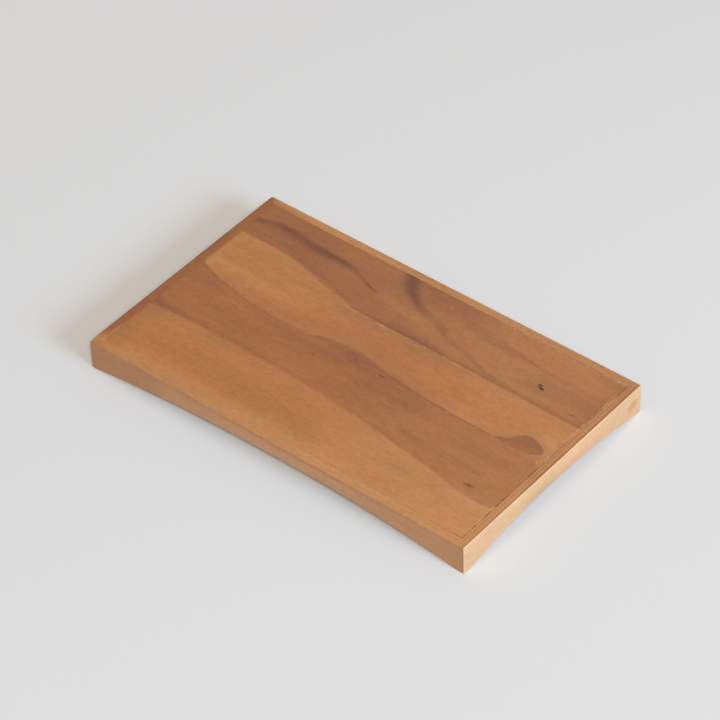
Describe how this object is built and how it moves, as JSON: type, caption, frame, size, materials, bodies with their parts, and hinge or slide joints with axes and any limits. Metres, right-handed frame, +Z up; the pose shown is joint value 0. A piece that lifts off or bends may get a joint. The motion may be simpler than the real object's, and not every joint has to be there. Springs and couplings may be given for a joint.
{
  "type": "wooden tray",
  "caption": "Flat rectangular wooden serving tray: an edge-glued board panel in a flush mitred frame, arched under each side so that it stands on its corners and lifts by the fingers.",
  "frame": {"origin": "middle of the tray, on the surface that it stands on", "axes": "+X along the tray's length, +Y from its front rail to its back rail, +Z up through the panel"},
  "size_m": [0.3, 0.18, 0.022],
  "materials": {
    "heartwood_board": "reddish-brown heartwood, sanded, thin satin oil",
    "sapwood_board": "golden sapwood with a heartwood edge, sanded, thin satin oil",
    "mixed_board": "heartwood and sapwood side by side, sanded, thin satin oil",
    "rail_wood": "straight-grained strip, eased edges, thin satin oil",
    "spline_wood": "bare sawn wood, glued in"
  },
  "bodies": {
    "root": {"back_board": "heartwood_board", "middle_board": "sapwood_board", "front_board": "mixed_board", "front_rail": "rail_wood", "right_rail": "rail_wood", "back_rail": "rail_wood", "left_rail": "rail_wood", "front_left_spline": "spline_wood", "front_right_spline": "spline_wood", "back_right_spline": "spline_wood", "back_left_spline": "spline_wood"}
  },
  "joints": []
}
